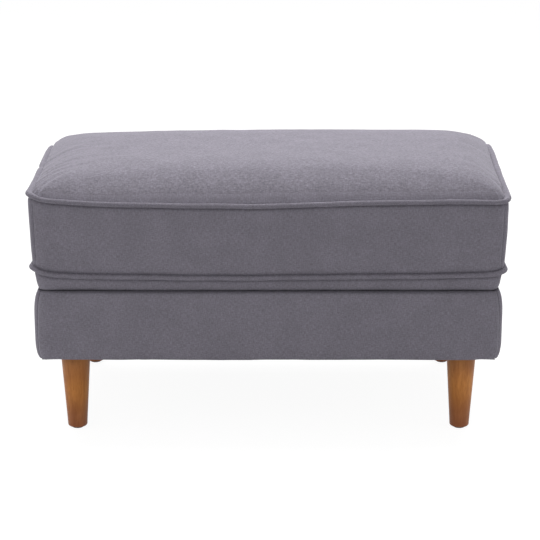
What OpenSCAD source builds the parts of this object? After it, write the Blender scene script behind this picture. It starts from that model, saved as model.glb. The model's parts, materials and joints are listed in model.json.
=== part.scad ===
// Upholstered ottoman: a sprung and padded base on four turned legs, with a loose
// box cushion that has a welt round both edges and a zip along its back.
// Millimetres. X runs along the length, Y towards the back, Z up from the floor.

/* [Overall] */
// Length over the cushion's welts
overall_w = 842; // [720:1:1000]
// Depth over the cushion's welts
overall_d = 509; // [440:1:640]
// Height of the base's lower edge above the floor
base_z = 148; // [110:1:200]
// Height of the deck that the cushion lies on
deck_z = 274; // [265:1:320]
// Gap between soft layers that touch
layer_gap = 0.3; // [0.2:0.05:0.4]
// Thickness of the upholstery cloth
cloth_t = 1.5; // [1:0.1:1.8]

/* [Base upholstery] */
// How far the base's widest line lies inside the cushion's welts, on each side
base_inset = 7.5; // [3:0.5:20]
// Plan radius of the base's corners
base_corner_r = 26; // [22:1:40]
// Thickness of the padding over the rails
padding_t = 13; // [9:0.5:18]
// Width of the rolled edge round the deck
roll_w = 28; // [18:1:32]
// Height of the rolled edge round the deck
roll_h = 28; // [18:1:32]
// How far the base draws in at its lower edge
tuck_w = 9; // [4:0.5:12]
// Height over which the base draws in at its lower edge
tuck_h = 34; // [20:1:45]
// Width of the cloth that turns under the rails
flange_w = 24; // [15:1:28]
// Width of the cover's border on the deck
border_w = 40; // [36:1:60]
// Thickness of the black dust cover
dust_t = 0.8; // [0.5:0.1:1.2]

/* [Frame] */
// Thickness of the rails
rail_t = 22; // [18:1:26]
// Height of the rails
rail_h = 90; // [80:1:92]
// Length of a corner block along each rail
block_leg = 105; // [98:1:115]
// Height of a corner block
block_h = 40; // [34:1:50]
// Width of the centre stretcher
stretcher_w = 45; // [30:1:60]
// Height of the centre stretcher
stretcher_h = 62; // [50:1:75]
// Depth of the hollow in the stretcher's upper edge
stretcher_dip = 14; // [8:1:18]
// Diameter of the dowels
dowel_d = 8; // [6:1:9]
// Length of the dowels
dowel_len = 36; // [30:1:40]
// Diameter of the corner block screws
screw_d = 4; // [3:0.5:5]
// Length of the corner block screws
screw_len = 38; // [34:1:42]

/* [Legs] */
// Distance from the base's widest line to a leg's centre
leg_inset = 67; // [64:1:74]
// Diameter at the top of a leg
leg_top_d = 51; // [44:1:54]
// Diameter at the foot of a leg
leg_foot_d = 35; // [28:1:40]
// Radius of the foot's lower edge
foot_r = 3.5; // [2:0.5:5]
// Diameter of a glide
glide_d = 22; // [16:1:24]
// Thickness of a glide
glide_t = 3; // [2:0.5:5]
// Diameter of a glide's nail
nail_d = 2.4; // [2:0.2:3]
// Length of a glide's nail
nail_len = 15; // [10:1:20]
// Diameter of a hanger bolt
bolt_d = 8; // [6:1:9]
// Length of a hanger bolt in the leg
bolt_in_leg = 42; // [30:1:55]
// Diameter of a tee nut's barrel
nut_barrel_d = 11; // [10.5:0.5:12]
// Length of a tee nut's barrel
nut_barrel_len = 12; // [8:1:16]
// Diameter of a tee nut's flange
nut_flange_d = 24; // [20:1:28]
// Thickness of a tee nut's flange
nut_flange_t = 1.6; // [1.2:0.2:2]
// Radial clearance of a shank in its bore
bore_gap = 0.08; // [0.05:0.01:0.1]

/* [Springs] */
// Distance between the centres of neighbouring springs
spring_step = 134; // [90:1:150]
// Diameter of the spring wire
wire_d = 3.6; // [3:0.2:4]
// Distance between the bars of a spring
spring_pitch = 24; // [22:1:28]
// Width of a spring
spring_w = 52; // [44:1:60]
// Length of a spring clip along the rail
clip_w = 18; // [12:1:22]
// Thickness of a clip's strip
clip_t = 1.2; // [1:0.1:1.4]
// Thickness of the felt on the springs
felt_t = 3; // [2:0.5:4]

/* [Cushion] */
// Height of the lower welt's centre above the deck
lower_seam_h = 35; // [28:1:40]
// Height between the centres of the two welts
boxing_h = 134; // [110:1:170]
// Diameter of the welts
welt_d = 10; // [8:0.5:11]
// How far the lower welt lies inside the upper one
lower_in = 1.75; // [0:0.25:3]
// Plan radius of the cushion's corners
cushion_corner_r = 36; // [26:1:50]
// Height of the crown above the upper welt
crown_h = 46.5; // [35:0.5:70]
// Distance over which the crown rises
crown_reach = 28; // [22:1:45]
// Width of the rounded belly under the lower welt
belly_reach = 22; // [18:1:34]
// How much lower the upper welt is at the middle of a long side than at its ends
seam_dip = 11; // [0:0.5:14]
// How much lower the upper welt is at the back corners than at the front ones
rear_drop = 18; // [0:1:22]
// How far the upholstered side stands out between its welts
boxing_bulge = 1; // [0:0.5:2]

/* [Zip] */
// Distance from each end of the cushion to the zip's chain
zip_margin = 81; // [70:1:160]
// Width of the gap in the cloth over the chain
zip_slot = 11; // [10.5:0.5:13]
// Depth of the zip's middle plane behind the cloth
zip_depth = 4.2; // [4.1:0.1:5]
// Width of one row of the coil
coil_w = 2.6; // [2.2:0.1:2.8]
// Thickness of the coil
coil_t = 2.3; // [2:0.1:2.5]
// Slit between the two rows of the coil
coil_slit = 1; // [0.9:0.1:1.2]
// Width of one tape beside its coil row
tape_w = 13; // [11:0.5:15]
// Thickness of the tapes
tape_t = 0.6; // [0.4:0.1:0.8]
// Length of the slider
slider_len = 13; // [11:0.5:15]
// Thickness of the slider's plates
plate_t = 1.3; // [1:0.1:1.4]
// Clearance of the slider round the chain
slider_gap = 0.3; // [0.2:0.05:0.35]
// Length of the pull tab from its hinge
pull_len = 27; // [20:1:34]
// Width of the pull tab
pull_w = 7; // [6:0.5:8]
// Thickness of the pull tab
pull_t = 1.6; // [1.4:0.1:1.8]

/* [Hidden] */

// Sides of true round shapes, which come out as exact curves
$fn = 48;

cloth_color = [0.42, 0.41, 0.45];
wood_color = [0.62, 0.38, 0.17];
pine_color = [0.82, 0.68, 0.47];
steel_color = [0.62, 0.63, 0.65];
black_color = [0.09, 0.09, 0.1];
foam_color = [0.9, 0.87, 0.74];
fibre_color = [0.93, 0.93, 0.92];

// Plans of the base and the cushion: half sizes, then the corner radius
cushion_half = [overall_w / 2, overall_d / 2];
base_half = [cushion_half[0] - base_inset, cushion_half[1] - base_inset];
cushion_plan = [cushion_half, cushion_corner_r];
base_plan = [base_half, base_corner_r];
least_r = base_corner_r / 13;

// Heights in the base
rail_z = base_z + cloth_t + layer_gap;
rail_top = rail_z + rail_h;
spring_z = rail_top + clip_t + wire_d / 2 + layer_gap / 2;
felt_z = spring_z + wire_d / 2 + layer_gap;
foam_z = felt_z + felt_t + layer_gap;
foam_top = deck_z - cloth_t - layer_gap;

// The frame lies inside the padding
frame_inset = cloth_t + padding_t;
frame_half = [base_half[0] - frame_inset, base_half[1] - frame_inset];
frame_corner_r = base_corner_r - frame_inset;
rail_in = [frame_half[0] - rail_t, frame_half[1] - rail_t];
leg_at = [base_half[0] - leg_inset, base_half[1] - leg_inset];
block_top = rail_z + block_h;

// Corner signs anticlockwise from the back right, and the side that follows each
corner_sign = [[1, 1], [-1, 1], [-1, -1], [1, -1]];
back = 0;
left = 1;
front = 2;
right = 3;
corner_steps = 4;
side_steps = [10, 6, 10, 6];

// A stop on a plan is [corner, turn round that corner, way along the side after it]
function corner_stops(k, from, to) = [for (j = [from:to]) [k, j / corner_steps, 0]];
function side_stops(k) = [for (j = [1:side_steps[k] - 1]) [k, 1, j / side_steps[k]]];
function panel_stops(k) = concat(
    corner_stops(k, corner_steps / 2, corner_steps),
    side_stops(k),
    corner_stops((k + 1) % 4, 0, corner_steps / 2)
);
ring_stops = [for (k = [0:3]) each concat(corner_stops(k, 0, corner_steps), side_stops(k))];

function corner_point(plan, inset, k, turn) =
    let (r = max(plan[1] - inset, least_r), a = 90 * (k + turn))
    [
        corner_sign[k][0] * (plan[0][0] - inset - r) + r * cos(a),
        corner_sign[k][1] * (plan[0][1] - inset - r) + r * sin(a)
    ];

function plan_point(plan, inset, stop) =
    let (p = corner_point(plan, inset, stop[0], stop[1]))
    stop[2] == 0 ? p : p + stop[2] * (corner_point(plan, inset, (stop[0] + 1) % 4, 0) - p);

// A profile point is [inset from the plan, height, share of the dip, share of the drop to the back]
drop_from = 0.235;

function skin_point(plan, p, stop) =
    let (
        xy = plan_point(plan, p[0], stop),
        middle = stop[0] % 2 == 0 ? sin(180 * stop[2]) : 0,
        backwards = max(0, xy[1] / plan[0][1] - drop_from) / (1 - drop_from)
    )
    [xy[0], xy[1], p[1] - p[2] * seam_dip * middle - p[3] * rear_drop * pow(backwards, 2)];

function reversed(list) = [for (i = [len(list) - 1:-1:0]) list[i]];

// The same profile moved inwards by t, for one that runs up its outer side
function inset_profile(profile, t) = [
    for (i = [0:len(profile) - 1])
        let (
            d = profile[min(i + 1, len(profile) - 1)] - profile[max(i - 1, 0)],
            n = norm([d[0], d[1]])
        )
        [profile[i][0] + t * d[1] / n, profile[i][1] - t * d[0] / n, profile[i][2], profile[i][3]]
];

// Closed body from a ring at each profile point, with its first and last ring capped.
// Its facets split the same way up or down a profile, so that layers that touch agree.
module stack(plan, profile) {
    n = len(ring_stops);
    last = (len(profile) - 1) * n;
    centres = [[0, 0, profile[0][1]], [0, 0, profile[len(profile) - 1][1]]];
    points = concat([for (p = profile) each [for (s = ring_stops) skin_point(plan, p, s)]], centres);
    caps = [for (j = [0:n - 1]) each [[j, (j + 1) % n, last + n], [last + (j + 1) % n, last + j, last + n + 1]]];
    walls = [
        for (i = [0:len(profile) - 2], j = [0:n - 1])
            let (a = i * n + j, b = i * n + (j + 1) % n, inwards = profile[i][0] <= profile[i + 1][0])
            each inwards ? [[a, a + n, b + n], [a, b + n, b]] : [[a, a + n, b], [a + n, b + n, b]]
    ];
    polyhedron(points, concat(caps, walls), convexity = 4);
}

// One side's piece of a closed section that runs up its outer face and down its inner one
module band(plan, section, stops) {
    m = len(section);
    last = (len(stops) - 1) * m;
    points = [for (s = stops) each [for (p = section) skin_point(plan, p, s)]];
    caps = [[for (j = [m - 1:-1:0]) j], [for (j = [0:m - 1]) last + j]];
    walls = [
        for (i = [0:len(stops) - 2], j = [0:m - 1])
            let (a = i * m + j, u = i * m + (j + 1) % m)
            each [[a, u, u + m], [a, u + m, a + m]]
    ];
    polyhedron(points, concat(caps, walls), convexity = 4);
}

// A tube round the whole plan, for a welt
module ring_tube(plan, centre, shares, r, sides) {
    n = len(ring_stops);
    section = [
        for (j = [0:sides - 1])
            let (a = 360 * (j + 0.5) / sides)
            [centre[0] - r * sin(a), centre[1] - r * cos(a), shares[0], shares[1]]
    ];
    points = [for (s = ring_stops) each [for (p = section) skin_point(plan, p, s)]];
    walls = [
        for (i = [0:n - 1], j = [0:sides - 1])
            let (
                a = i * sides + j,
                u = i * sides + (j + 1) % sides,
                b = ((i + 1) % n) * sides + j,
                c = ((i + 1) % n) * sides + (j + 1) % sides
            )
            each [[a, u, c], [a, c, b]]
    ];
    polyhedron(points, walls, convexity = 4);
}

// Flat plate with round corners, centred on the plan
module round_plate(half, r, z, t) {
    translate([0, 0, z])
        linear_extrude(t) {
            square([2 * half[0], 2 * (half[1] - r)], center = true);
            square([2 * (half[0] - r), 2 * half[1]], center = true);
            for (s = corner_sign)
                translate([s[0] * (half[0] - r), s[1] * (half[1] - r)])
                    circle(r);
        }
}

module at_corner(s) {
    mirror([s[0] < 0 ? 1 : 0, 0, 0])
        mirror([0, s[1] < 0 ? 1 : 0, 0])
            children();
}

/* Frame */

// Dowels lie along the side rails and along the stretcher
dowel_zs = [rail_z + rail_h * 0.28, rail_z + rail_h * 0.78];
stretcher_dowel_z = rail_z + (stretcher_h - stretcher_dip) / 2;
side_rail_x = frame_half[0] - rail_t / 2;

module rail_end_dowels(gap) {
    for (s = corner_sign, z = dowel_zs)
        translate([s[0] * side_rail_x, s[1] * rail_in[1], z])
            rotate([90, 0, 0])
                cylinder(d = dowel_d + 2 * gap, h = dowel_len + 2 * gap, center = true);
    for (y = [-rail_in[1], rail_in[1]])
        translate([0, y, stretcher_dowel_z])
            rotate([90, 0, 0])
                cylinder(d = dowel_d + 2 * gap, h = dowel_len + 2 * gap, center = true);
}

// Each corner block has one screw into the long rail and one into the side rail
screw_along = 80;
screw_z = rail_z + block_h / 2;
screw_offset_z = 6;
screw_head_d = 2 * screw_d;
screw_head_h = screw_d * 0.7;
screw_bite = 15;
screw_head_at = screw_len - screw_bite;

module screw_shape(gap) {
    translate([0, 0, -screw_bite - gap])
        cylinder(d = screw_d + 2 * gap, h = screw_len + gap);
    translate([0, 0, screw_head_at])
        cylinder(d = screw_head_d + 2 * gap, h = screw_head_h);
}

module corner_screws(gap) {
    translate([rail_in[0] - screw_along, rail_in[1], screw_z + screw_offset_z])
        rotate([90, 0, 0])
            screw_shape(gap);
    translate([rail_in[0], rail_in[1] - screw_along, screw_z - screw_offset_z])
        rotate([0, -90, 0])
            screw_shape(gap);
}

module all_corner_screws(gap) {
    for (s = corner_sign)
        at_corner(s)
            corner_screws(gap);
}

module long_rail(side) {
    color(pine_color)
        difference() {
            intersection() {
                round_plate(frame_half, frame_corner_r, rail_z, rail_h);
                translate([0, side * (frame_half[1] - rail_t / 2), rail_z + rail_h / 2])
                    cube([2 * frame_half[0] + 2, rail_t, rail_h], center = true);
            }
            rail_end_dowels(bore_gap);
            all_corner_screws(bore_gap);
        }
}

module side_rail(side) {
    color(pine_color)
        difference() {
            translate([side * side_rail_x, 0, rail_z + rail_h / 2])
                cube([rail_t, 2 * rail_in[1], rail_h], center = true);
            rail_end_dowels(bore_gap);
            all_corner_screws(bore_gap);
        }
}

module front_rail() {
    long_rail(-1);
}

module rear_rail() {
    long_rail(1);
}

module left_rail() {
    side_rail(-1);
}

module right_rail() {
    side_rail(1);
}

// The upper edge is cut in a long hollow, so that the springs can sink
module centre_stretcher() {
    hollow = rail_in[1] * 0.8;
    hollow_r = (hollow * hollow + stretcher_dip * stretcher_dip) / (2 * stretcher_dip);
    color(pine_color)
        difference() {
            translate([0, 0, rail_z + stretcher_h / 2])
                cube([stretcher_w, 2 * rail_in[1], stretcher_h], center = true);
            translate([0, 0, rail_z + stretcher_h - stretcher_dip + hollow_r])
                rotate([0, 90, 0])
                    cylinder(r = hollow_r, h = stretcher_w + 2, center = true, $fn = 96);
            rail_end_dowels(bore_gap);
        }
}

module rail_dowels() {
    color(pine_color)
        rail_end_dowels(0);
}

// Triangular block with clipped points, bored for the tee nut's barrel and the bolt
block_clip = 14;

module corner_block(s) {
    x = rail_in[0];
    y = rail_in[1];
    far = block_leg;
    color(pine_color)
        at_corner(s)
            difference() {
                translate([0, 0, rail_z])
                    linear_extrude(block_h)
                        polygon([
                            [x, y], [x - far, y], [x - far, y - block_clip],
                            [x - block_clip, y - far], [x, y - far]
                        ]);
                translate([leg_at[0], leg_at[1], rail_z - 1])
                    cylinder(d = bolt_d + 1, h = block_h + 2);
                translate([leg_at[0], leg_at[1], block_top - nut_barrel_len - layer_gap])
                    cylinder(d = nut_barrel_d + 2 * bore_gap, h = nut_barrel_len + 2);
                corner_screws(bore_gap);
            }
}

module block_screws() {
    color(steel_color)
        all_corner_screws(0);
}

/* Legs */

leg_h = rail_z - glide_t;

// Straight taper with a rounded foot, turned round its own axis
module leg(s) {
    foot_steps = 4;
    top_edge = 1.5;
    color(wood_color)
        translate([s[0] * leg_at[0], s[1] * leg_at[1], glide_t])
            difference() {
                rotate_extrude()
                    polygon(concat(
                        [[0, 0]],
                        [
                            for (i = [0:foot_steps])
                                let (a = 90 * i / foot_steps)
                                [leg_foot_d / 2 - foot_r * (1 - sin(a)), foot_r * (1 - cos(a))]
                        ],
                        [[leg_top_d / 2, leg_h - top_edge], [leg_top_d / 2 - top_edge, leg_h], [0, leg_h]]
                    ));
                translate([0, 0, leg_h - bolt_in_leg])
                    cylinder(d = bolt_d + 2 * bore_gap, h = bolt_in_leg + 1);
                translate([0, 0, -1])
                    cylinder(d = nail_d + 2 * bore_gap, h = nail_len + 1);
            }
}

// Nail-on glide with a bevelled edge
module glide(s) {
    bevel = 0.8;
    color(black_color)
        translate([s[0] * leg_at[0], s[1] * leg_at[1], 0]) {
            cylinder(d1 = glide_d - 2 * bevel, d2 = glide_d, h = bevel);
            translate([0, 0, bevel])
                cylinder(d = glide_d, h = glide_t - bevel);
            translate([0, 0, glide_t - bevel])
                cylinder(d = nail_d, h = nail_len + bevel - 1);
        }
}

// Wood thread in the leg, machine thread up through the tee nut
module hanger_bolts() {
    top = block_top + nut_flange_t + bolt_d / 2;
    bottom = rail_z - bolt_in_leg + 1;
    point = 5;
    color(steel_color)
        for (s = corner_sign)
            translate([s[0] * leg_at[0], s[1] * leg_at[1], bottom]) {
                cylinder(d1 = bolt_d / 2, d2 = bolt_d, h = point);
                translate([0, 0, point])
                    cylinder(d = bolt_d, h = top - bottom - point);
            }
}

module tee_nuts() {
    color(steel_color)
        for (s = corner_sign)
            translate([s[0] * leg_at[0], s[1] * leg_at[1], block_top])
                difference() {
                    union() {
                        cylinder(d = nut_flange_d, h = nut_flange_t);
                        translate([0, 0, -nut_barrel_len])
                            cylinder(d = nut_barrel_d, h = nut_barrel_len + nut_flange_t / 2);
                    }
                    translate([0, 0, -nut_barrel_len - 1])
                        cylinder(d = bolt_d + 2 * bore_gap, h = nut_barrel_len + nut_flange_t + 2);
                }
}

/* Springs and deck */

// The end bars of each spring lie on the rails, in their clips
spring_bars = 2 * floor((frame_half[1] - rail_t / 2) / spring_pitch) + 1;
clip_at = spring_pitch * (spring_bars - 1) / 2;
bar_len = spring_w - spring_pitch - wire_d;
clip_r = wire_d / 2 + layer_gap / 2 + clip_t;
wire_fn = 20;

// One unbroken zigzag wire, place steps from the middle of the frame
module sinuous_spring(place) {
    color(steel_color)
        translate([place * spring_step, -clip_at, spring_z]) {
            for (i = [0:spring_bars - 1])
                translate([0, i * spring_pitch, 0])
                    rotate([0, 90, 0])
                        cylinder(d = wire_d, h = bar_len, center = true, $fn = wire_fn);
            for (i = [0:spring_bars - 2])
                let (way = i % 2 == 0 ? 1 : -1)
                translate([way * bar_len / 2, (i + 0.5) * spring_pitch, 0])
                    rotate([0, 0, way > 0 ? -90 : 90])
                        rotate_extrude(angle = 180, $fn = wire_fn)
                            translate([spring_pitch / 2, 0])
                                circle(d = wire_d, $fn = wire_fn);
        }
}

// Strip curled over the end bar, open towards the middle of the frame
module spring_clip() {
    inner = wire_d / 2 + layer_gap / 2;
    tail = 8;
    rotate([90, 0, 90])
        linear_extrude(clip_w, center = true) {
            difference() {
                circle(inner + clip_t);
                circle(inner);
                translate([0, -inner / 2])
                    square([3 * inner, inner]);
            }
            translate([-inner - tail, -inner - clip_t])
                square([inner + tail, clip_t]);
        }
}

module spring_clips() {
    color(steel_color)
        for (place = [-2:2], side = [0, 180])
            rotate([0, 0, side])
                translate([place * spring_step, -clip_at, spring_z])
                    spring_clip();
}

deck_edge = roll_w + layer_gap;
deck_half = [base_half[0] - deck_edge - layer_gap, base_half[1] - deck_edge - layer_gap];

// The felt ends between the two rows of clips
module spring_felt() {
    color([0.55, 0.5, 0.45])
        round_plate([deck_half[0], clip_at - clip_r - layer_gap], least_r, felt_z, felt_t);
}

module deck_foam() {
    color(foam_color)
        round_plate(deck_half, least_r, foam_z, foam_top - foam_z);
}

module deck_cloth() {
    half = [base_half[0] - border_w - layer_gap, base_half[1] - border_w - layer_gap];
    color(black_color)
        round_plate(half, least_r, deck_z - cloth_t, cloth_t);
}

/* Base cover and padding */

// Outer face of the cover: turned under, drawn in at the foot, upright, rolled over the deck
tuck_steps = 4;
roll_steps = 5;
cover_profile = concat(
    [[tuck_w + flange_w, base_z, 0, 0]],
    [
        for (i = [0:tuck_steps])
            let (a = 90 * i / tuck_steps)
            [tuck_w * (1 - sin(a)), base_z + tuck_h * (1 - cos(a)), 0, 0]
    ],
    [
        for (i = [0:roll_steps])
            let (a = 90 * i / roll_steps)
            [roll_w * (1 - cos(a)), deck_z - roll_h * (1 - sin(a)), 0, 0]
    ],
    [[border_w, deck_z, 0, 0]]
);

module base_cover(side) {
    color(cloth_color)
        band(
            base_plan,
            concat(cover_profile, reversed(inset_profile(cover_profile, cloth_t))),
            panel_stops(side)
        );
}

module padding(side) {
    face = inset_profile(cover_profile, cloth_t + layer_gap);
    outer = [for (p = face) if (p[1] > rail_z && p[0] <= deck_edge - 0.5) p];
    inner = frame_inset - layer_gap;
    color(fibre_color)
        band(
            base_plan,
            concat(
                [[outer[0][0], rail_z, 0, 0]],
                outer,
                [
                    [deck_edge, foam_top, 0, 0], [deck_edge, felt_z, 0, 0],
                    [inner, felt_z, 0, 0], [inner, rail_z, 0, 0]
                ]
            ),
            panel_stops(side)
        );
}

// Thin lining under the frame, cut out round the legs
module dust_cover() {
    margin = 13;
    half = [base_half[0] - margin, base_half[1] - margin];
    color(black_color)
        difference() {
            round_plate(half, base_corner_r - margin, base_z - dust_t, dust_t);
            for (s = corner_sign)
                translate([s[0] * leg_at[0], s[1] * leg_at[1], base_z - dust_t - 1])
                    cylinder(d = leg_top_d + 2, h = dust_t + 2);
        }
}

/* Cushion */

welt_r = welt_d / 2;
rest_z = deck_z + layer_gap;
lower_seam_z = deck_z + lower_seam_h;
upper_seam_z = lower_seam_z + boxing_h;
lower_welt_in = welt_r + lower_in;
lower_share = 0.6;

// Upright side between the welts: s runs from 0 at the lower welt to 1 at the upper one
boxing_z0 = lower_seam_z + welt_r + layer_gap;
boxing_z1 = upper_seam_z - welt_r - layer_gap;
boxing_low_in = lower_welt_in + 1.75;
boxing_top_in = welt_r - 0.5;

function boxing_in(s) = boxing_low_in + (boxing_top_in - boxing_low_in) * s - 4 * boxing_bulge * s * (1 - s);
function boxing_z(s) = boxing_z0 + (boxing_z1 - boxing_z0) * s;
function boxing_dip(s) = s < 0.5 ? lower_share * (1 - 2 * s) : 2 * s - 1;
function boxing_drop(s) = max(0, 2 * s - 1);
function boxing_point(s) = [boxing_in(s), boxing_z(s), boxing_dip(s), boxing_drop(s)];
function level_point(s) = [boxing_in(s), boxing_z(s), 0, 0];

// The crown rises steeply from the seam and flattens towards the middle
crown_steps = 8;
crown_rise = 3;
rim_in = 2 * welt_r + 0.5;
crown_run = cushion_half[1] - rim_in - 45;

function crown_point(t) = [
    rim_in + t,
    upper_seam_z + crown_rise + (crown_h - crown_rise) * (1 - exp(-t / crown_reach)) / (1 - exp(-crown_run / crown_reach)),
    pow(max(0, 1 - t / (crown_run * 0.6)), 2),
    1
];
crown_profile = reversed([for (i = [0:crown_steps]) crown_point(crown_run * pow(i / crown_steps, 1.8))]);

// The belly hangs from the lower welt and flattens on the deck
belly_steps = 4;
belly_rim_in = lower_welt_in + welt_r + 0.5;
belly_rim_z = lower_seam_z - welt_r / 2;
belly_profile = [
    for (i = [0:belly_steps])
        let (a = 90 * (1 - i / belly_steps))
        [
            belly_rim_in + belly_reach * (1 - cos(a)),
            belly_rim_z - (belly_rim_z - rest_z) * sin(a),
            lower_share * pow(cos(a), 2),
            0
        ]
];

// The foam core has its edges cut back clear of the welts
foam_low = lower_seam_z - 2;
foam_high = upper_seam_z + 2;
foam_low_in = lower_welt_in + welt_r + 2.75;
foam_high_in = 2 * welt_r + 3.5;
foam_flat_in = 60;
foam_skin = cloth_t + layer_gap;
foam_cut = 4;

zip_len = overall_w - 2 * zip_margin;
zip_z = boxing_z(0.5);
zip_in = boxing_in(0.5) + zip_depth;
zip_y = cushion_half[1] - zip_in;
tape_z = coil_slit / 2 + coil_w;
slider_w = 2 * tape_z + 2.6;
slider_t = coil_t / 2 + slider_gap + plate_t;
pin_r = pull_t / 2;
pin_y = zip_y + slider_t + slider_gap + pin_r;
stop_len = 3;
slider_x = zip_len / 2 - slider_len / 2 - slider_gap;

// A level strip behind the cloth of the back, from one inset and height to another
function strip_section(outer, inner, low, high) =
    [[outer, low, 0, 0], [outer, high, 0, 0], [inner, high, 0, 0], [inner, low, 0, 0]];

// Room at the back of the foam for the tapes, and a deeper channel for the slider
module zip_room() {
    reach = tape_z + tape_w + 1;
    depth = zip_in + tape_t / 2 + layer_gap;
    band(cushion_plan, strip_section(-1, depth, zip_z - reach, zip_z + reach), panel_stops(back));
    translate([0, zip_y, zip_z])
        cube([zip_len + 4 * stop_len, 2 * (slider_t + slider_gap), slider_w + 2], center = true);
}

module cushion_foam() {
    color(foam_color)
        difference() {
            stack(cushion_plan, concat(
                [[foam_flat_in, foam_low, 0, 0], [foam_low_in, foam_low, lower_share, 0]],
                [[boxing_in(0) + foam_skin, boxing_z0 + foam_cut, lower_share, 0]],
                [for (s = [0.25, 0.5, 0.75]) boxing_point(s) + [foam_skin, 0, 0, 0]],
                [[boxing_in(1) + foam_skin, boxing_z1 - foam_cut, 1, 1]],
                [[foam_high_in, foam_high, 1, 1], [foam_flat_in, foam_high, 0, 0]]
            ));
            zip_room();
        }
}

module cushion_fibre_top() {
    under = inset_profile(reversed(crown_profile), cloth_t + layer_gap);
    color(fibre_color)
        stack(cushion_plan, concat(
            [
                [foam_flat_in, foam_high + layer_gap, 0, 0],
                [foam_high_in + layer_gap, foam_high + layer_gap, 1, 1]
            ],
            [for (i = [1:crown_steps]) under[i]]
        ));
}

module cushion_fibre_bottom() {
    over = inset_profile(belly_profile, cloth_t + layer_gap);
    color(fibre_color)
        stack(cushion_plan, concat(
            [for (i = [0:belly_steps - 1]) over[i]],
            [
                [foam_low_in + layer_gap, foam_low - layer_gap, lower_share, 0],
                [foam_flat_in, foam_low - layer_gap, 0, 0]
            ]
        ));
}

module cushion_top_panel() {
    outer = reversed(crown_profile);
    color(cloth_color)
        stack(cushion_plan, concat(reversed(inset_profile(outer, cloth_t)), outer));
}

module cushion_bottom_panel() {
    color(cloth_color)
        stack(cushion_plan, concat(belly_profile, reversed(inset_profile(belly_profile, cloth_t))));
}

module boxing(side) {
    outer = [for (i = [0:4]) boxing_point(i / 4)];
    color(cloth_color)
        band(
            cushion_plan,
            concat(outer, reversed(inset_profile(outer, cloth_t))),
            panel_stops(side)
        );
}

// Half of the back's boxing: its edge along the zip is turned in and sewn to the tape
module boxing_strip(way) {
    edge = zip_slot / 2 / (boxing_z1 - boxing_z0);
    hem = 8 / (boxing_z1 - boxing_z0);
    hem_t = zip_depth - tape_t / 2 - layer_gap;
    a = way > 0 ? 0.5 + edge : 0;
    b = way > 0 ? 1 : 0.5 - edge;
    upper_face = [level_point(a), boxing_point(0.75), boxing_point(1)];
    lower_face = [boxing_point(0), boxing_point(0.25), level_point(b)];
    face = way > 0 ? upper_face : lower_face;
    lining = inset_profile(face, cloth_t);
    at_hem = way > 0 ? a + hem : b - hem;
    step_in = level_point(at_hem) + [cloth_t, 0, 0, 0];
    step_out = [boxing_in(0.5) + hem_t, boxing_z(at_hem), 0, 0];
    edge_in = [boxing_in(0.5) + hem_t, boxing_z(way > 0 ? a : b), 0, 0];
    inside = way > 0
        ? [lining[2], lining[1], step_in, step_out, edge_in]
        : [edge_in, step_out, step_in, lining[1], lining[0]];
    color(cloth_color)
        band(cushion_plan, concat(face, inside), panel_stops(back));
}

module welt_upper() {
    color(cloth_color)
        ring_tube(cushion_plan, [welt_r, upper_seam_z], [1, 1], welt_r, 8);
}

module welt_lower() {
    color(cloth_color)
        ring_tube(cushion_plan, [lower_welt_in, lower_seam_z], [lower_share, 0], welt_r, 8);
}

/* Zip */

module zip_tape(way) {
    near = zip_z + way * tape_z;
    far = zip_z + way * (tape_z + tape_w);
    outer = zip_in - tape_t / 2;
    inner = zip_in + tape_t / 2;
    color(black_color)
        band(
            cushion_plan,
            strip_section(outer, inner, min(near, far), max(near, far)),
            panel_stops(back)
        );
}

module zip_coil() {
    color(black_color)
        for (way = [-1, 1])
            translate([0, zip_y, zip_z + way * (coil_slit + coil_w) / 2])
                cube([zip_len, coil_t, coil_w], center = true);
}

// The stops close the slit at both ends of the chain
module zip_stops() {
    color(steel_color)
        for (way = [-1, 1])
            translate([way * (zip_len + stop_len) / 2, zip_y, zip_z])
                cube([stop_len, coil_t + 1, 2 * tape_z], center = true);
}

// Arch that holds the pull's barrel
arch_in = 2.2;
arch_t = 1.2;
arch_w = 2.5;

module slider_plate(way) {
    shoulder = slider_w / 2;
    tail = slider_w / 2 - 0.9;
    half = slider_len / 2;
    inside = coil_t / 2 + slider_gap;
    rim_t = 1;
    rim_reach = inside - tape_t / 2 - slider_gap;
    rotate([-90, 0, 0])
        translate([0, 0, way > 0 ? inside : -inside - plate_t])
            linear_extrude(plate_t)
                polygon([
                    [-half, -tail], [half - 3, -shoulder], [half, -shoulder + 2],
                    [half, shoulder - 2], [half - 3, shoulder], [-half, tail]
                ]);
    for (side = [-1, 1])
        translate([
            -0.5,
            way * (inside - rim_reach / 2 + 0.1),
            side * (tape_z + slider_gap + rim_t / 2)
        ])
            cube([slider_len * 0.7, rim_reach + 0.2, rim_t], center = true);
}

module zip_slider() {
    post_t = coil_slit - 0.4;
    arch_base = slider_t - 0.2;
    arch_under = slider_t + slider_gap + pull_t + 0.15;
    color(steel_color)
        translate([slider_x, zip_y, zip_z]) {
            slider_plate(1);
            slider_plate(-1);
            translate([slider_len * 0.27, 0, 0])
                cube([slider_len * 0.3, 2 * slider_t - plate_t, post_t], center = true);
            for (way = [-1, 1])
                translate([way * (arch_in + arch_t / 2), (arch_base + arch_under + arch_t) / 2, 0])
                    cube([arch_t, arch_under + arch_t - arch_base, arch_w], center = true);
            translate([0, arch_under + arch_t / 2, 0])
                cube([2 * arch_in + 0.2, arch_t, arch_w], center = true);
        }
}

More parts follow.
